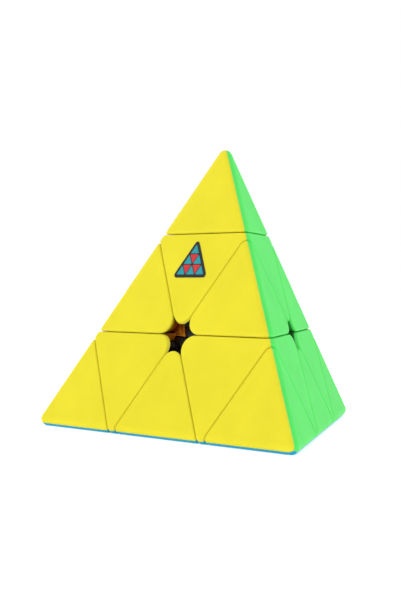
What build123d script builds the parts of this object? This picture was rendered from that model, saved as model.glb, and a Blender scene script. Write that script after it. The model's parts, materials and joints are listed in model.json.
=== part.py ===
from build123d import *
import math
import os

os.makedirs("parts", exist_ok=True)

# A three-layer pyramid twisty puzzle.  All sizes in millimetres.
# The origin is the point where the four turning axes meet, +Z is the axis of the
# top point, and the yellow side faces -Y.

# ---------------------------------------------------------------- overall shape
EDGE_LENGTH = 98.0      # point to point along one edge, over the rounded points
EDGE_ROUND = 2.0        # rounding of the six long edges and the four points
SEAM_ROUND = 0.6        # rounding of the skin beside every seam
SEAM_GAP = 0.15         # running clearance between neighbouring layers
HOLE_ROUND = 4.3        # rounding of the inner corners that end at a face-centre hole
UNDERCUT_RADIUS = 7.5   # corner panels are only a lip thick this close to a face-centre axis
LIP = 0.9
WALL = 2.0              # wall of the hollow coloured shells

# ---------------------------------------------------------------- turning mechanism
# Each layer is bounded by a plane square to its turning axis.  The plane steps outwards
# from shell to shell, so the feet of the edges are trapped under the flanges of the hubs.
CORE_RADIUS = 8.2       # ball in the middle
FOOT_INNER = 8.5        # shell in which the edge feet slide
FOOT_OUTER = 12.5
FOOT_CUT = 4.3          # distance of the layer planes from the middle in that shell
FLANGE_INNER = 12.8     # shell in which the hub flanges hold the feet down
FLANGE_OUTER = 16.0
FLANGE_CUT = 6.15
SHELL_INNER = 16.2      # beyond this radius the layer planes are those seen from outside
SLIDE_GAP = 0.3         # running clearance between layers in the two inner shells
OVERLAP = 0.3           # features of one piece run this far into each other
OVERRUN = 1.0           # cutters run this far past the face they open
REST_GAP = 0.05         # gap between loose pieces that lie on each other
END_GAP = 0.2           # room left beyond the end of a peg or screw

# ---------------------------------------------------------------- axle of each hub
POST_RADIUS = 2.2
POST_TOP = 15.0
SCREW_RADIUS = 1.25
SCREW_START = 5.5
SCREW_CHAMFER = 0.5
HEAD_RADIUS = 3.2
HEAD_BASE = 20.2
HEAD_HEIGHT = 1.9
HEAD_ROUND = 0.8
RECESS_LENGTH = 3.2     # cross recess in the screw head
RECESS_WIDTH = 0.7
RECESS_DEPTH = 1.2
WASHER_RADIUS = 3.6
WASHER_THICKNESS = 0.5
WASHER_SLACK = 0.15     # radial room round the screw
FLOOR_TOP = 13.5        # the spring presses here on the hub
SPRING_RADIUS = 2.95
SPRING_WIRE = 0.3
SPRING_TURNS = 5
HUB_BORE = 2.35
SPRING_BORE = 4.0
TUBE_RADIUS = 6.2

# ---------------------------------------------------------------- tip pivot
SOCKET_RADIUS = 4.4
SOCKET_BASE = 24.0
PLUG_RADIUS = 4.25
PLUG_BORE = 3.0
PLUG_BASE = 27.0
BEAD_RADIUS = 4.75
BEAD_HEIGHT = 1.4
BEAD_CHAMFER = 0.45
GROOVE_RADIUS = 5.0
GROOVE_SLACK = 0.4      # the groove is this much longer than the bead at each end
SLOT_WIDTH = 1.2
SLOT_LENGTH = 6.0
DISC_RADIUS = 7.8
TRACK_RADIUS = 6.2      # circle on which the detent ball runs
TRACK_DEPTH = 0.5
DIMPLE_DEPTH = 0.8
BALL_RADIUS = 1.0
TOWER_WALL = 0.9        # blind tower that houses the detent ball and its spring
TOWER_HEIGHT = 5.4
TOWER_BORE = 4.4
DETENT_RADIUS = 0.65
DETENT_WIRE = 0.13
DETENT_SEAT = 0.9       # the detent spring starts this far above the middle of the ball
DETENT_TURNS = 5

# ---------------------------------------------------------------- push-on pegs
CORNER_PEG = 1.7
CORNER_BOSS = 3.2
CORNER_PEG_LENGTH = 4.6
TIP_PEG = 1.1
TIP_BOSS = 2.2
TIP_PEG_LENGTH = 2.4
EDGE_PEG = 1.5
EDGE_BOSS = 2.6
EDGE_PEG_REACH = 3.2
EDGE_PEG_X = 3.7
EDGE_PEG_Z = 24.0
PEG_CLEARANCE = 0.05
WEB_THICKNESS = 1.6
WEB_TOP = 25.0

# ---------------------------------------------------------------- derived sizes
INRADIUS = (EDGE_LENGTH - 2 * EDGE_ROUND) / (2 * math.sqrt(6)) + EDGE_ROUND
CUT = INRADIUS / 3
TIP_CUT = 5 * INRADIUS / 3
HUB_TOP = TIP_CUT - SEAM_GAP / 2
TIP_BASE = TIP_CUT + SEAM_GAP / 2
CORNER_CENTRE = INRADIUS                                # middle of an eight-sided corner piece
CORNER_FACE = 2 * INRADIUS / 3 - WALL                   # from there to the inside of its shell
TIP_CENTRE = TIP_BASE + (3 * INRADIUS - TIP_BASE) / 4   # middle of a four-sided tip
TIP_FACE = (3 * INRADIUS - TIP_BASE) / 4 - WALL         # from there to the inside of its shell
HALF_TILT = math.degrees(math.acos(1 / math.sqrt(3)))
FULL_TILT = 2 * HALF_TILT
REACH = 4 * INRADIUS

TOP = Vector(0, 0, 1)
LEFT = Vector(-math.sqrt(6) / 3, -math.sqrt(2) / 3, -1 / 3)
RIGHT = Vector(math.sqrt(6) / 3, -math.sqrt(2) / 3, -1 / 3)
BACK = Vector(0, 2 * math.sqrt(2) / 3, -1 / 3)
VERTICES = {"top": TOP, "left": LEFT, "right": RIGHT, "back": BACK}

# colour of the side opposite each point
SIDE_COLOUR = {"back": "yellow", "left": "green", "right": "red", "top": "blue"}


# ---------------------------------------------------------------- helpers
def polar(tilt, azimuth):
    """Unit vector leaning tilt degrees from +Z towards azimuth."""
    lean = math.radians(tilt)
    turn = math.radians(azimuth)
    return Vector(math.sin(lean) * math.cos(turn), math.sin(lean) * math.sin(turn), math.cos(lean))


def under(shape, normal, distance):
    """Keep what lies below the plane at this distance along the normal."""
    return split(shape, bisect_by=Plane(origin=normal * distance, z_dir=normal), keep=Keep.BOTTOM)


def over(shape, normal, distance):
    """Keep what lies above the plane at this distance along the normal."""
    return split(shape, bisect_by=Plane(origin=normal * distance, z_dir=normal), keep=Keep.TOP)


def pyramid(points, inradius):
    """Sharp pyramid with its four points along the given directions."""
    solid = Sphere(REACH)
    for point in points:
        solid = over(solid, point, -inradius)
    return solid


def rounded_pyramid(points):
    """The outside of the puzzle before it is cut into layers."""
    solid = pyramid(points, INRADIUS)
    return fillet(solid.edges(), EDGE_ROUND)


def rod(direction, start, end, radius):
    """Round bar along a direction from the origin."""
    place = Plane(origin=direction * ((start + end) / 2), z_dir=direction).location
    return place * Cylinder(radius, end - start)


def rod_from(origin, direction, start, end, radius):
    """Round bar along a direction from a given point."""
    place = Plane(origin=origin + direction * ((start + end) / 2), z_dir=direction).location
    return place * Cylinder(radius, end - start)


def ring(radius, bore, base, top):
    """Plain ring about +Z."""
    middle = Pos(0, 0, (base + top) / 2)
    return middle * Cylinder(radius, top - base) - middle * Cylinder(bore, top - base)


def shell_part(inner, outer, own, others, cut):
    """Part of a spherical shell that belongs to its own layers and to none of the others."""
    solid = Sphere(outer) - Sphere(inner)
    for point in own:
        solid = over(solid, point, cut + SLIDE_GAP / 2)
    for point in others:
        solid = under(solid, point, cut - SLIDE_GAP / 2)
    return solid


def corner_rounding(corner, axis, inward):
    """Cutter that rounds the corner between two layer planes, which meet along axis."""
    sine = math.sin(math.radians(90 - HALF_TILT))
    sharp = SEAM_GAP / 2 / sine
    tangent = sharp + HOLE_ROUND * (1 - sine ** 2) / sine
    middle = sharp + HOLE_ROUND / sine
    block = Pos(tangent - INRADIUS / 2, 0, 0) * Box(INRADIUS, INRADIUS, REACH)
    bar = Pos(middle, 0, 0) * Cylinder(HOLE_ROUND, REACH + OVERRUN)
    return Plane(origin=corner, z_dir=axis, x_dir=inward).location * (block - bar)


def is_skin(face):
    """True for a face on the outside of the pyramid: flat sides and their rounding."""
    if face.geom_type == GeomType.PLANE:
        return abs(face.center().dot(face.normal_at()) - INRADIUS) < 0.001
    return abs((face.radius or 0) - EDGE_ROUND) < 0.001


def soften_seams(solid):
    """Round the rim of the skin where it drops into the seams."""
    candidates = [edge for face in solid.faces().filter_by(is_skin) for edge in face.edges()]
    rim = [edge for edge in candidates if sum(edge.is_same(other) for other in candidates) == 1]
    return fillet(rim, SEAM_ROUND)


def coil(radius, wire, base, top, turns):
    """Compression spring about +Z that fills base to top."""
    rise = top - base - 2 * wire
    path = Pos(0, 0, base + wire) * Helix(rise / turns, rise, radius)
    start = Plane(origin=path @ 0, z_dir=path % 0)
    return sweep(start * Circle(wire), path=path)


def save(node, shape):
    """Write one node of the puzzle."""
    shape.label = node
    export_step(shape, f"parts/{node}.step")


# ---------------------------------------------------------------- prototypes about one point
# These are drawn with their own point along +Z and the other three points at
# azimuths 0, 120 and 240, so the three visible sides are at 60, 180 and 300.
NEIGHBOURS = [polar(FULL_TILT, azimuth) for azimuth in (0, 120, 240)]
SIDES = [polar(180 - FULL_TILT, azimuth) for azimuth in (60, 180, 300)]
WHOLE = rounded_pyramid([TOP] + NEIGHBOURS)


def side_sector(solid):
    """The third of a solid that carries the side at azimuth 60."""
    return over(over(solid, polar(90, 90), 0), polar(90, 30), 0)


def corner_space(inset):
    """Eight-sided space of a corner piece, drawn in by inset."""
    room = under(over(Sphere(REACH), TOP, CUT + SEAM_GAP / 2 + inset), TOP, HUB_TOP - inset)
    for neighbour in NEIGHBOURS:
        room = under(room, neighbour, CUT - SEAM_GAP / 2 - inset)
    for side in SIDES:
        room = under(room, side, INRADIUS - inset)
    return room


def corner_panel():
    """One coloured third of a corner shell with its peg."""
    block = under(over(WHOLE, TOP, CUT + SEAM_GAP / 2), TOP, HUB_TOP)
    for neighbour in NEIGHBOURS:
        block = under(block, neighbour, CUT - SEAM_GAP / 2)
    for side in SIDES:
        axis = (side + TOP).normalized()
        inward = (TOP - axis * TOP.dot(axis)).normalized()
        block -= corner_rounding(side * INRADIUS, axis, inward)
    block = soften_seams(block)
    for side in SIDES:
        block -= rod(side, 0, INRADIUS - LIP, UNDERCUT_RADIUS)
    block -= Sphere(SHELL_INNER)
    block -= corner_space(WALL)
    block -= rod(TOP, HUB_TOP - 2 * WALL, HUB_TOP + OVERRUN, DISC_RADIUS + PEG_CLEARANCE)
    panel = side_sector(block)
    peg_end = CORNER_FACE - CORNER_PEG_LENGTH
    peg = rod_from(TOP * CORNER_CENTRE, SIDES[0], peg_end, CORNER_FACE + WALL / 2, CORNER_PEG)
    return panel + peg


def hub():
    """Black carrier of a corner: stub, flange, tube, bosses and top disc."""
    body = shell_part(FLANGE_INNER, FLANGE_OUTER, [TOP], NEIGHBOURS, FLANGE_CUT)
    stub = shell_part(FOOT_INNER, FOOT_OUTER, [TOP], NEIGHBOURS, FOOT_CUT)
    neck = shell_part(FOOT_OUTER - OVERLAP, FLANGE_INNER + OVERLAP, [TOP], NEIGHBOURS, FOOT_CUT)
    body += stub
    body += over(neck, TOP, FLANGE_CUT + SLIDE_GAP / 2)
    body += rod(TOP, FLANGE_INNER, HUB_TOP, TUBE_RADIUS)
    body += rod(TOP, HUB_TOP - WALL, HUB_TOP, DISC_RADIUS)
    middle = TOP * CORNER_CENTRE
    room = corner_space(WALL + END_GAP) - Sphere(FLANGE_OUTER - OVERLAP)
    for side, azimuth in zip(SIDES, (60, 180, 300)):
        web = Rot(0, 0, azimuth) * Pos(REACH / 2, 0, 0) * Box(REACH, WEB_THICKNESS, 2 * WEB_TOP)
        body += web & room
        body += rod_from(middle, side, WALL / 2, CORNER_FACE, CORNER_BOSS)
    socket_end = CORNER_FACE - CORNER_PEG_LENGTH - END_GAP
    for side in SIDES:
        body -= rod_from(middle, side, socket_end, CORNER_FACE + OVERRUN, CORNER_PEG + PEG_CLEARANCE)
    body -= rod(TOP, 0, FLOOR_TOP + OVERRUN, HUB_BORE)
    body -= rod(TOP, FLOOR_TOP, SOCKET_BASE + OVERRUN, SPRING_BORE)
    body -= rod(TOP, SOCKET_BASE, HUB_TOP + OVERRUN, SOCKET_RADIUS)
    groove_top = PLUG_BASE + BEAD_HEIGHT + GROOVE_SLACK
    body -= ring(GROOVE_RADIUS, SOCKET_RADIUS - OVERLAP, PLUG_BASE - GROOVE_SLACK, groove_top)
    track_floor = HUB_TOP - TRACK_DEPTH
    body -= ring(TRACK_RADIUS + BALL_RADIUS, TRACK_RADIUS - BALL_RADIUS, track_floor, HUB_TOP + OVERRUN)
    dimple_radius = BALL_RADIUS + REST_GAP
    for azimuth in (0, 120, 240):
        dimple = Pos(TRACK_RADIUS, 0, HUB_TOP - DIMPLE_DEPTH + dimple_radius) * Sphere(dimple_radius)
        body -= Rot(0, 0, azimuth) * dimple
    return body


def tip_space(inset):
    """Four-sided space of a tip, drawn in by inset."""
    room = over(Sphere(REACH), TOP, TIP_BASE + inset)
    for side in SIDES:
        room = under(room, side, INRADIUS - inset)
    return room


def tip_panel():
    """One coloured third of a tip shell with its peg."""
    block = soften_seams(over(WHOLE, TOP, TIP_BASE))
    block -= tip_space(WALL)
    block -= rod(TOP, TIP_BASE - OVERRUN, TIP_BASE + 2 * WALL, DISC_RADIUS + PEG_CLEARANCE)
    panel = side_sector(block)
    peg = rod_from(TOP * TIP_CENTRE, SIDES[0], TIP_FACE - TIP_PEG_LENGTH, TIP_FACE + WALL / 2, TIP_PEG)
    return panel + peg


def tip_base():
    """Black carrier of a tip: disc, post with peg sockets, detent tower and snap plug."""
    middle = TOP * TIP_CENTRE
    disc = rod(TOP, TIP_BASE, TIP_BASE + WALL, DISC_RADIUS)
    beside = Pos(TRACK_RADIUS, 0, TIP_BASE)
    body = rod(TOP, TIP_BASE, TIP_CENTRE, TIP_BOSS + OVERLAP)
    body += beside * Pos(0, 0, TOWER_HEIGHT / 2) * Cylinder(BALL_RADIUS + TOWER_WALL, TOWER_HEIGHT)
    for side in SIDES:
        body += rod_from(middle, side, 0, TIP_FACE, TIP_BOSS)
    socket_end = TIP_FACE - TIP_PEG_LENGTH - END_GAP
    for side in SIDES:
        body -= rod_from(middle, side, socket_end, TIP_FACE + OVERRUN, TIP_PEG + PEG_CLEARANCE)
    body &= tip_space(WALL) + disc
    body += disc
    body += rod(TOP, PLUG_BASE, TIP_BASE + OVERLAP, PLUG_RADIUS)
    bead = rod(TOP, PLUG_BASE, PLUG_BASE + BEAD_HEIGHT, BEAD_RADIUS)
    body += chamfer(bead.edges().filter_by(GeomType.CIRCLE), BEAD_CHAMFER)
    body -= rod(TOP, PLUG_BASE - OVERRUN, TIP_BASE, PLUG_BORE)
    for azimuth in (0, 60, 120):
        slot_middle = Pos(0, 0, PLUG_BASE + (SLOT_LENGTH - OVERRUN) / 2)
        slot = slot_middle * Box(4 * PLUG_RADIUS, SLOT_WIDTH, SLOT_LENGTH + OVERRUN)
        body -= Rot(0, 0, azimuth) * slot
    bore_middle = Pos(0, 0, (TOWER_BORE - OVERRUN) / 2)
    body -= beside * bore_middle * Cylinder(BALL_RADIUS + PEG_CLEARANCE, TOWER_BORE + OVERRUN)
    return body


# ---------------------------------------------------------------- prototype of an edge
# Drawn with the middle of its long edge along +Z and its two points in the XZ plane.
EDGE_POINTS = [polar(HALF_TILT, 0), polar(HALF_TILT, 180)]
EDGE_OTHERS = [polar(180 - HALF_TILT, 90), polar(180 - HALF_TILT, 270)]


def edge_half():
    """One coloured half of an edge piece: shell, half stem, half foot, peg and socket."""
    across = Vector(0, 1, 0)
    block = rounded_pyramid(EDGE_POINTS + EDGE_OTHERS)
    room = pyramid(EDGE_POINTS + EDGE_OTHERS, INRADIUS - WALL)
    for point in EDGE_POINTS:
        block = over(block, point, CUT + SEAM_GAP / 2)
        room = over(room, point, CUT + SEAM_GAP / 2 + WALL)
    knife = Vector(0, 0, CUT * math.sqrt(3))
    block -= corner_rounding(knife, across, TOP)
    block = soften_seams(block)
    block -= Sphere(SHELL_INNER)
    block -= room - Sphere(SHELL_INNER + WALL)
    block += shell_part(FLANGE_OUTER - OVERLAP, SHELL_INNER + OVERLAP, EDGE_POINTS, [], CUT)
    block += shell_part(FOOT_OUTER - OVERLAP, FLANGE_OUTER, EDGE_POINTS, [], FLANGE_CUT)
    block += shell_part(FOOT_INNER, FOOT_OUTER, EDGE_POINTS, [], FOOT_CUT)
    half = over(block, across, 0)
    inside = over(pyramid(EDGE_POINTS + EDGE_OTHERS, INRADIUS - WALL / 2), across, 0)
    post_seat = Vector(EDGE_PEG_X, 0, EDGE_PEG_Z)
    socket_seat = Vector(-EDGE_PEG_X, 0, EDGE_PEG_Z)
    half += rod_from(post_seat, across, 0, INRADIUS, EDGE_BOSS) & inside
    half += rod_from(socket_seat, across, 0, INRADIUS, EDGE_BOSS) & inside
    half += rod_from(post_seat, across, -EDGE_PEG_REACH, WALL, EDGE_PEG)
    half -= rod_from(socket_seat, across, -OVERRUN, EDGE_PEG_REACH + END_GAP, EDGE_PEG + PEG_CLEARANCE)
    return half


# ---------------------------------------------------------------- core and fasteners
def core():
    """Ball with four posts for the axle screws."""
    body = Sphere(CORE_RADIUS)
    for point in VERTICES.values():
        body += rod(point, 0, POST_TOP, POST_RADIUS)
    for point in VERTICES.values():
        body -= rod(point, SCREW_START, POST_TOP + OVERRUN, SCREW_RADIUS)
    return body


def axis_screw():
    """Pan-head screw with a cross recess."""
    head = rod(TOP, HEAD_BASE, HEAD_BASE + HEAD_HEIGHT, HEAD_RADIUS)
    head = fillet(head.edges().filter_by(GeomType.CIRCLE).sort_by(Axis.Z)[-1], HEAD_ROUND)
    for azimuth in (0, 90):
        recess = Pos(0, 0, HEAD_BASE + HEAD_HEIGHT) * Box(RECESS_LENGTH, RECESS_WIDTH, 2 * RECESS_DEPTH)
        head -= Rot(0, 0, azimuth) * recess
    shank = rod(TOP, SCREW_START + END_GAP, HEAD_BASE, SCREW_RADIUS)
    shank = chamfer(shank.edges().filter_by(GeomType.CIRCLE).sort_by(Axis.Z)[0], SCREW_CHAMFER)
    return head + shank


# ---------------------------------------------------------------- placing
def point_frame(name):
    """Frame with +Z along a point and +X towards the first of the others."""
    own = VERTICES[name]
    first = VERTICES[next(other for other in VERTICES if other != name)]
    return Plane(origin=(0, 0, 0), x_dir=first - own * own.dot(first), z_dir=own)


def side_colour_towards(direction):
    """Colour of the side whose outward normal is closest to a direction."""
    opposite = min(VERTICES, key=lambda name: VERTICES[name].dot(direction))
    return SIDE_COLOUR[opposite]


frames = {name: point_frame(name).location for name in VERTICES}

save("core", core())

washer_base = HEAD_BASE - REST_GAP - WASHER_THICKNESS
screw = axis_screw()
washer = ring(WASHER_RADIUS, SCREW_RADIUS + WASHER_SLACK, washer_base, washer_base + WASHER_THICKNESS)
spring = coil(SPRING_RADIUS, SPRING_WIRE, FLOOR_TOP + REST_GAP, washer_base - REST_GAP, SPRING_TURNS)
save("axis_screws", Compound(children=[frame * screw for frame in frames.values()]))
save("axis_washers", Compound(children=[frame * washer for frame in frames.values()]))
save("axis_springs", Compound(children=[frame * spring for frame in frames.values()]))

hub_solid = hub()
corner_third = corner_panel()
tip_base_solid = tip_base()
tip_third = tip_panel()
ball_height = HUB_TOP - TRACK_DEPTH + REST_GAP + BALL_RADIUS
ball = Pos(TRACK_RADIUS, 0, ball_height) * Sphere(BALL_RADIUS)
coil_top = TIP_BASE + TOWER_BORE - REST_GAP
detent_coil = coil(DETENT_RADIUS, DETENT_WIRE, ball_height + DETENT_SEAT, coil_top, DETENT_TURNS)
detent_coil = Pos(TRACK_RADIUS, 0, 0) * detent_coil

for name, frame in frames.items():
    save(f"hub_{name}", frame * hub_solid)
    save(f"tip_base_{name}", frame * tip_base_solid)
    save(f"detent_ball_{name}", frame * ball)
    save(f"detent_spring_{name}", frame * detent_coil)
    for azimuth in (0, 120, 240):
        turned = frame * Rot(0, 0, azimuth)
        outward = (turned * Vertex(*SIDES[0])).center()
        colour = side_colour_towards(outward)
        save(f"corner_{name}_{colour}", turned * corner_third)
        save(f"tip_{name}_{colour}", turned * tip_third)

half_solid = edge_half()
names = list(VERTICES)
pairs = [(a, b) for i, a in enumerate(names) for b in names[i + 1:]]
for a, b in pairs:
    middle = VERTICES[a] + VERTICES[b]
    along = VERTICES[a] - VERTICES[b]
    for direction in (along, -along):
        frame = Plane(origin=(0, 0, 0), x_dir=direction, z_dir=middle)
        outward = middle.normalized() * math.cos(math.radians(HALF_TILT)) + frame.y_dir
        save(f"edge_{a}_{b}_{side_colour_towards(outward)}", frame.location * half_solid)
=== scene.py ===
import json
import math

import bmesh
import bpy
from mathutils import Matrix, Vector

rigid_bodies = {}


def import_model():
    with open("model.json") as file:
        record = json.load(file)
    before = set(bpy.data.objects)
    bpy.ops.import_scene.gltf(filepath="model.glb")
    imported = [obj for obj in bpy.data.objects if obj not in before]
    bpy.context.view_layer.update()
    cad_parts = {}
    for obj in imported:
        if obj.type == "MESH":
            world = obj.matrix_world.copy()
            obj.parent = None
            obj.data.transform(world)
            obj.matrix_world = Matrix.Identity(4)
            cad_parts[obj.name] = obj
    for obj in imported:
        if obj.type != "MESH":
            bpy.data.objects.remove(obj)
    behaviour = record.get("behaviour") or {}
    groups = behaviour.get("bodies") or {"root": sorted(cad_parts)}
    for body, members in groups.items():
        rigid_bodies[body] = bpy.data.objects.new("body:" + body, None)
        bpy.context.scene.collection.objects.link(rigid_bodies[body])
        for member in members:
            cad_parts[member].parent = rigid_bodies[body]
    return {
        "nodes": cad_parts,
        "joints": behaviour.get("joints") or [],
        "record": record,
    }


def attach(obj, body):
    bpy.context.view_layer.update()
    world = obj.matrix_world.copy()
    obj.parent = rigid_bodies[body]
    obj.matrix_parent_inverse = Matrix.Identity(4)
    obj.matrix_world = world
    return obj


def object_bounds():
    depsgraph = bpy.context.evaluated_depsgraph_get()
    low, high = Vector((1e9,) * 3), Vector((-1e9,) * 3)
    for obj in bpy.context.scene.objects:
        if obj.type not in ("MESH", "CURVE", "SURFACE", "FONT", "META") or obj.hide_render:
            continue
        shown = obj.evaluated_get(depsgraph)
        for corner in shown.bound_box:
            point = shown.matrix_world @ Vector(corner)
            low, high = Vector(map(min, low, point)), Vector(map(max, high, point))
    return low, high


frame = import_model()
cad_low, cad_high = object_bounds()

# A stickerless three-layer pyramid puzzle on a pale studio floor.  Lengths are in metres.
MILLIMETRE = 0.001

# ---------------------------------------------------------------- shape facts from the frame
# The origin is where the four turning axes meet, so each flat side is as far from it
# as the floor is, and each side's outward direction is minus the opposite point's axis.
SIDE_DISTANCE = -cad_low[2]
AXES = {joint["child"]: Vector(joint["axis"]) for joint in frame["joints"] if joint["parent"] == "core"}
YELLOW_OUT = -AXES["corner_back"].normalized()
GREEN_OUT = -AXES["corner_left"].normalized()
RED_OUT = -AXES["corner_right"].normalized()
BLUE_OUT = -AXES["corner_top"].normalized()

# ---------------------------------------------------------------- camera and studio
CAMERA_PLACE = Vector((0.2485, -0.2723, 0.0226))
CAMERA_TARGET = Vector((-0.0057, -0.0044, 0.0163))
SENSOR_HEIGHT = 24.0
LENS = 51.0
CLIP_START = 0.01
FLOOR_REACH = 3.0
FLOOR_GLOW = 0.45           # keeps the pale floor as white as the backdrop
SOFTBOX_SIZE = 0.5
KEY_PLACE = (-0.25, -0.65, 0.45)
KEY_POWER = 1.0
FILL_PLACE = (0.7, 0.1, 0.35)
FILL_POWER = 0.6

# ---------------------------------------------------------------- colours, in linear RGB
YELLOW = (0.70, 0.62, 0.030)
GREEN = (0.083, 0.675, 0.114)
BLUE = (0.012, 0.30, 0.46)
RED = (0.66, 0.016, 0.014)
# Painted shade: deeper, warmer colours each moulding takes a few millimetres below its flat side,
# standing in for the shade and bounced light in the puzzle's hollows.
YELLOW_PAINTED_SHADE = (0.74, 0.25, 0.004)
GREEN_PAINTED_SHADE = (0.01, 0.32, 0.03)
BLUE_PAINTED_SHADE = (0.006, 0.14, 0.27)
RED_PAINTED_SHADE = (0.36, 0.03, 0.008)
NYLON_BLACK = (0.012, 0.012, 0.013)
STEEL_DULL = (0.42, 0.41, 0.40)
STEEL_BRIGHT = (0.62, 0.62, 0.64)
BADGE_BLACK = (0.009, 0.009, 0.011)
BADGE_TEAL = (0.01, 0.26, 0.30)
BADGE_RED = (0.55, 0.02, 0.025)
WHITE = (1.0, 1.0, 1.0)

# ---------------------------------------------------------------- moulded plastic
PAINTED_SHADE_START = 1.4 * MILLIMETRE       # depth below the flat side at which the painted shade starts to deepen the colour
PAINTED_SHADE_END = 3.5 * MILLIMETRE
RUBBED_WIDTH = 0.5 * MILLIMETRE     # how far handling has rubbed the edges
RUBBED_MOST = 0.25
SHARP_COSINE = 0.86                 # a bevelled normal that leans this far marks a sharp edge
TRANSLUCENCY = 2.2 * MILLIMETRE     # how far light spreads below the surface

# ---------------------------------------------------------------- badge
BADGE_SIDE = 13.5 * MILLIMETRE
BADGE_ROUND = 0.9 * MILLIMETRE      # rounding of its corners
BADGE_BORDER = 1.3 * MILLIMETRE
BADGE_THICK = 0.12 * MILLIMETRE
BADGE_SLOPE = 0.05                  # share by which its top is drawn in
BADGE_PLACE = (-0.6 * MILLIMETRE, 26.6 * MILLIMETRE)    # across and up on the yellow side
TILE_GAP = 0.28 * MILLIMETRE
TILE_ROUND = 0.18 * MILLIMETRE
TILE_THICK = 0.05 * MILLIMETRE
TILE_SLOPE = 0.06
TILE_ROWS = 3
RIM_HEIGHT = 0.6                    # share of a plate's thickness where its rim starts to slope


# ---------------------------------------------------------------- materials
class Nodes:
    """Short way to build a material's node tree."""

    def __init__(self, name):
        self.material = bpy.data.materials.new(name)
        self.material.use_nodes = True
        self.tree = self.material.node_tree
        self.shader = self.tree.nodes["Principled BSDF"]

    def add(self, kind, **values):
        """New node, with each value set as a property or else on the input of that name."""
        node = self.tree.nodes.new(kind)
        for key, value in values.items():
            if hasattr(node, key):
                setattr(node, key, value)
            else:
                node.inputs[key.replace("_", " ").title()].default_value = value
        return node

    def link(self, source, target):
        self.tree.links.new(source, target)

    def drive(self, source, shader_input):
        """Let a node's output set one input of the shader."""
        self.link(source, self.shader.inputs[shader_input])

    def set(self, **values):
        """Set plain values on the shader's own sockets."""
        for key, value in values.items():
            self.shader.inputs[key.replace("_", " ")].default_value = value

    def place(self):
        return self.add("ShaderNodeTexCoord").outputs["Object"]

    def noise(self, scale, detail=2.0, roughness=0.5):
        """Noise with a scale in cycles per metre of the object."""
        node = self.add("ShaderNodeTexNoise", scale=scale, detail=detail, roughness=roughness)
        self.link(self.place(), node.inputs["Vector"])
        return node.outputs["Fac"]

    def blend(self, noise, low, high):
        """Two RGBA colours blended over the middle stretch of a noise."""
        node = self.add("ShaderNodeValToRGB")
        first, last = node.color_ramp.elements
        first.position, first.color = 0.3, low
        last.position, last.color = 0.7, high
        self.link(noise, node.inputs["Fac"])
        return node.outputs["Color"]

    def spread(self, factor, low, high):
        """A factor from 0 to 1 spread over low to high."""
        node = self.add("ShaderNodeMapRange")
        node.inputs["To Min"].default_value = low
        node.inputs["To Max"].default_value = high
        self.link(factor, node.inputs["Value"])
        return node.outputs["Result"]

    def mix(self, factor, first, second):
        """First colour where the factor is 0 and second where it is 1."""
        node = self.add("ShaderNodeMix", data_type="RGBA")
        sockets = [s for s in node.inputs if s.type == "RGBA"]
        for socket, value in ((node.inputs[0], factor), (sockets[0], first), (sockets[1], second)):
            if isinstance(value, bpy.types.NodeSocket):
                self.link(value, socket)
            else:
                socket.default_value = value
        return next(s for s in node.outputs if s.type == "RGBA")

    def product(self, first, second):
        node = self.add("ShaderNodeMath", operation="MULTIPLY")
        self.link(first, node.inputs[0])
        self.link(second, node.inputs[1])
        return node.outputs[0]

    def skin(self, outward):
        """1 near the flat side that faces outward and 0 a few millimetres below it: the mask of the
        painted shade.
        """
        height = self.add("ShaderNodeVectorMath", operation="DOT_PRODUCT")
        self.link(self.place(), height.inputs[0])
        height.inputs[1].default_value = outward
        node = self.add("ShaderNodeMapRange", interpolation_type="SMOOTHSTEP")
        node.inputs["From Min"].default_value = SIDE_DISTANCE - PAINTED_SHADE_END
        node.inputs["From Max"].default_value = SIDE_DISTANCE - PAINTED_SHADE_START
        self.link(height.outputs["Value"], node.inputs["Value"])
        return node.outputs["Result"]

    def edges(self, radius):
        """1 on sharp outer edges, 0 on flats: how far a bevelled normal leans from the true one."""
        bevel = self.add("ShaderNodeBevel", samples=6)
        bevel.inputs["Radius"].default_value = radius
        geometry = self.add("ShaderNodeNewGeometry")
        dot = self.add("ShaderNodeVectorMath", operation="DOT_PRODUCT")
        self.link(bevel.outputs["Normal"], dot.inputs[0])
        self.link(geometry.outputs["Normal"], dot.inputs[1])
        node = self.add("ShaderNodeMapRange")
        node.inputs["From Min"].default_value = 1.0
        node.inputs["From Max"].default_value = SHARP_COSINE
        self.link(dot.outputs["Value"], node.inputs["Value"])
        return node.outputs["Result"]

    def bump(self, height, strength, distance):
        node = self.add("ShaderNodeBump")
        node.inputs["Strength"].default_value = strength
        node.inputs["Distance"].default_value = distance
        self.link(height, node.inputs["Height"])
        self.drive(node.outputs["Normal"], "Normal")


def opaque(colour):
    """A colour as an RGBA value."""
    return tuple(colour) + (1.0,)


def shade(colour, amount):
    """A colour made lighter (above 1) or darker (below 1), as an RGBA value."""
    return opaque(min(1.0, channel * amount) for channel in colour)


def faded(colour):
    """A colour rubbed nearly halfway to white, as an RGBA value."""
    return opaque(0.55 * channel + 0.45 for channel in colour)


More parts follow.
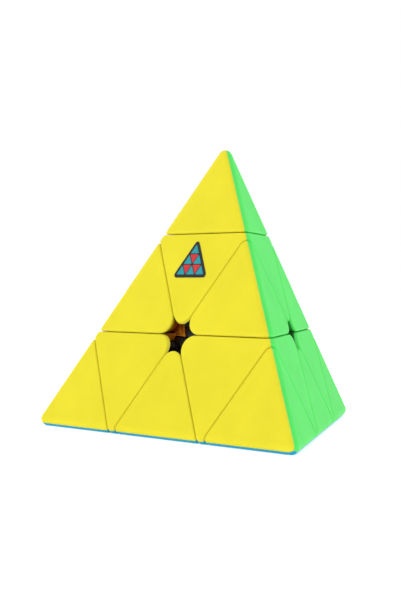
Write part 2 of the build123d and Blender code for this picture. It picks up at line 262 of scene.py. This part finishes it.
def moulded_plastic(name, outward, colour, painted_shade_colour):
    """Solid-coloured moulded plastic: cloudy colour, satin grain, rubbed edges, and painted shade that
    deepens the colour below the flat side.
    """
    nodes = Nodes(name)
    clouds = nodes.noise(scale=70.0, detail=4.0, roughness=0.6)
    outside = nodes.blend(clouds, low=shade(colour, 0.955), high=shade(colour, 1.03))
    # Painted shade: a few millimetres below the flat side the colour turns to the deeper painted shade
    # colour.
    colour_and_painted_shade = nodes.mix(nodes.skin(outward), opaque(painted_shade_colour), outside)
    patches = nodes.spread(nodes.noise(scale=420.0, detail=3.0), low=0.0, high=RUBBED_MOST)
    rubbed = nodes.product(nodes.edges(RUBBED_WIDTH), patches)
    nodes.drive(nodes.mix(rubbed, colour_and_painted_shade, faded(colour)), "Base Color")
    handled = nodes.noise(scale=180.0, detail=5.0, roughness=0.65)
    nodes.drive(nodes.spread(handled, low=0.35, high=0.51), "Roughness")
    nodes.bump(nodes.noise(scale=5200.0), strength=0.12, distance=0.02 * MILLIMETRE)
    nodes.set(IOR=1.49, Specular_IOR_Level=0.03)
    nodes.set(Subsurface_Weight=0.35, Subsurface_Scale=TRANSLUCENCY, Subsurface_Radius=(1.0, 0.8, 0.6))
    return nodes.material


def carrier_plastic(name, colour):
    """Black nylon of the inner carriers: finer grain and faint greasy patches."""
    nodes = Nodes(name)
    patches = nodes.noise(scale=150.0, detail=5.0, roughness=0.6)
    nodes.drive(nodes.blend(patches, low=shade(colour, 0.8), high=shade(colour, 1.5)), "Base Color")
    nodes.drive(nodes.spread(patches, low=0.27, high=0.54), "Roughness")
    nodes.bump(nodes.noise(scale=3800.0, detail=3.0), strength=0.2, distance=0.03 * MILLIMETRE)
    nodes.set(IOR=1.5)
    return nodes.material


def spring_steel(name):
    """Drawn and turned steel: a fine grain and slight tarnish."""
    nodes = Nodes(name)
    tarnish = nodes.noise(scale=400.0, detail=4.0)
    nodes.drive(nodes.blend(tarnish, low=opaque(STEEL_DULL), high=opaque(STEEL_BRIGHT)), "Base Color")
    nodes.drive(nodes.spread(nodes.noise(scale=2600.0), low=0.18, high=0.36), "Roughness")
    nodes.bump(nodes.noise(scale=6000.0), strength=0.15, distance=0.01 * MILLIMETRE)
    nodes.set(Metallic=1.0)
    return nodes.material


def enamel(name, colour, roughness):
    """Printed enamel of the badge: slightly uneven ink with a soft gloss."""
    nodes = Nodes(name)
    ink = nodes.noise(scale=900.0, detail=3.0)
    nodes.drive(nodes.blend(ink, low=shade(colour, 0.9), high=shade(colour, 1.08)), "Base Color")
    gloss = nodes.spread(nodes.noise(scale=1500.0), low=roughness - 0.05, high=roughness + 0.1)
    nodes.drive(gloss, "Roughness")
    nodes.bump(nodes.noise(scale=7000.0), strength=0.1, distance=0.01 * MILLIMETRE)
    nodes.set(Specular_IOR_Level=0.25)
    return nodes.material


def floor_paper(name):
    """Pale studio paper with a faint cloudiness."""
    nodes = Nodes(name)
    clouds = nodes.noise(scale=30.0, detail=3.0)
    nodes.drive(nodes.blend(clouds, low=shade(WHITE, 0.90), high=shade(WHITE, 0.93)), "Base Color")
    nodes.set(Roughness=0.9, Emission_Color=opaque(WHITE), Emission_Strength=FLOOR_GLOW)
    return nodes.material


def finish_cad_nodes():
    """Give every node of the frame the material of its slot."""
    materials = {
        "yellow_plastic": moulded_plastic("yellow_plastic", YELLOW_OUT, YELLOW, YELLOW_PAINTED_SHADE),
        "green_plastic": moulded_plastic("green_plastic", GREEN_OUT, GREEN, GREEN_PAINTED_SHADE),
        "blue_plastic": moulded_plastic("blue_plastic", BLUE_OUT, BLUE, BLUE_PAINTED_SHADE),
        "red_plastic": moulded_plastic("red_plastic", RED_OUT, RED, RED_PAINTED_SHADE),
        "black_plastic": carrier_plastic("black_plastic", NYLON_BLACK),
        "steel": spring_steel("steel"),
    }
    slot_of = {part["node"]: part["material_slot"] for part in frame["record"]["subparts"]}
    for name, node in frame["nodes"].items():
        node.data.materials.clear()
        node.data.materials.append(materials[slot_of[name]])


# ---------------------------------------------------------------- badge
def new_object(name, mesh):
    """Turn a bmesh into an object of the scene."""
    data = bpy.data.meshes.new(name)
    mesh.to_mesh(data)
    mesh.free()
    thing = bpy.data.objects.new(name, data)
    bpy.context.scene.collection.objects.link(thing)
    return thing


def rounded_triangle(side, rounding, steps, pointing_up=True):
    """Outline of an upright or inverted triangle with rounded corners, centred on its middle."""
    reach = side / math.sqrt(3) - 2 * rounding
    points = []
    for corner in range(3):
        aim = math.radians(90 + 120 * corner)
        centre = Vector((math.cos(aim), math.sin(aim))) * reach
        for step in range(steps + 1):
            turn = aim + math.radians(-60 + 120 * step / steps)
            points.append(centre + Vector((math.cos(turn), math.sin(turn))) * rounding)
    if not pointing_up:
        points = [Vector((-p.x, -p.y)) for p in points]
    return points


def raised_plate(mesh, outline, middle, base, top, slope, material_index):
    """Add a thin plate with a sloping rim to a bmesh."""
    def loop(scale, height):
        return [mesh.verts.new((p.x * scale + middle.x, p.y * scale + middle.y, height)) for p in outline]

    rings = [loop(1.0, base), loop(1.0, base + RIM_HEIGHT * (top - base)), loop(1.0 - slope, top)]
    for lower, upper in zip(rings, rings[1:]):
        for i in range(len(lower)):
            j = (i + 1) % len(lower)
            face = mesh.faces.new((lower[i], lower[j], upper[j], upper[i]))
            face.material_index = material_index
    cap = mesh.faces.new(rings[-1])
    cap.material_index = material_index


def on_yellow_side(x, z):
    """Place on the yellow side, x to the right and z up, with its local +Z pointing outwards."""
    right = Vector((1, 0, 0))
    up = YELLOW_OUT.cross(right).normalized()
    foot = YELLOW_OUT * SIDE_DISTANCE
    rise = (z - foot.z) / up.z
    centre = foot + up * rise + right * x
    turn = Matrix((right, up, YELLOW_OUT)).transposed().to_4x4()
    return Matrix.Translation(centre) @ turn


def triangle_badge():
    """Plain decorative badge: a dark triangle set with nine small ones, like the puzzle's own side."""
    mesh = bmesh.new()
    plate = rounded_triangle(BADGE_SIDE, BADGE_ROUND, steps=6)
    raised_plate(mesh, plate, Vector((0, 0)), 0.0, BADGE_THICK, BADGE_SLOPE, 0)
    field = BADGE_SIDE - 2 * BADGE_BORDER
    cell = field / TILE_ROWS
    row_height = cell * math.sqrt(3) / 2
    lowest = -field / (2 * math.sqrt(3))
    tile = cell - TILE_GAP * math.sqrt(3)
    tile_top = BADGE_THICK + TILE_THICK
    for row in range(TILE_ROWS):
        for column in range(2 * (TILE_ROWS - row) - 1):
            upright = column % 2 == 0
            x = (column - (TILE_ROWS - 1 - row)) * cell / 2
            y = lowest + row * row_height + row_height * (1 / 3 if upright else 2 / 3)
            outline = rounded_triangle(tile, TILE_ROUND, steps=3, pointing_up=upright)
            paint = 1 if upright else 2
            raised_plate(mesh, outline, Vector((x, y)), BADGE_THICK, tile_top, TILE_SLOPE, paint)
    badge = new_object("badge", mesh)
    badge.data.materials.append(enamel("badge_ground", BADGE_BLACK, roughness=0.35))
    badge.data.materials.append(enamel("badge_teal", BADGE_TEAL, roughness=0.25))
    badge.data.materials.append(enamel("badge_red", BADGE_RED, roughness=0.25))
    badge.matrix_world = on_yellow_side(*BADGE_PLACE)
    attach(badge, "corner_top")


# ---------------------------------------------------------------- floor, light and camera
def studio_floor():
    mesh = bmesh.new()
    plan = ((-1, -1), (1, -1), (1, 1), (-1, 1))
    corners = [mesh.verts.new((x * FLOOR_REACH, y * FLOOR_REACH, cad_low[2])) for x, y in plan]
    mesh.faces.new(corners)
    floor = new_object("floor", mesh)
    floor.data.materials.append(floor_paper("pale_floor"))


def softbox(name, place, power):
    """Square area light aimed at the middle of the puzzle."""
    light = bpy.data.lights.new(name, "AREA")
    light.shape = "SQUARE"
    light.size = SOFTBOX_SIZE
    light.energy = power
    lamp = bpy.data.objects.new(name, light)
    bpy.context.scene.collection.objects.link(lamp)
    lamp.location = place
    lamp.rotation_euler = (-Vector(place)).to_track_quat("-Z", "Y").to_euler()


def studio_light():
    world = bpy.data.worlds.new("studio")
    world.use_nodes = True
    background = world.node_tree.nodes["Background"]
    background.inputs["Color"].default_value = opaque(WHITE)
    background.inputs["Strength"].default_value = 1.0
    bpy.context.scene.world = world
    softbox("key", KEY_PLACE, KEY_POWER)
    softbox("fill", FILL_PLACE, FILL_POWER)


def studio_camera():
    data = bpy.data.cameras.new("camera")
    data.sensor_fit = "VERTICAL"
    data.sensor_height = SENSOR_HEIGHT
    data.lens = LENS
    data.clip_start = CLIP_START
    camera = bpy.data.objects.new("camera", data)
    bpy.context.scene.collection.objects.link(camera)
    camera.location = CAMERA_PLACE
    camera.rotation_euler = (CAMERA_TARGET - CAMERA_PLACE).to_track_quat("-Z", "Y").to_euler()
    bpy.context.scene.camera = camera


finish_cad_nodes()
triangle_badge()
studio_floor()
studio_light()
studio_camera()
bpy.context.scene.view_settings.view_transform = "Standard"
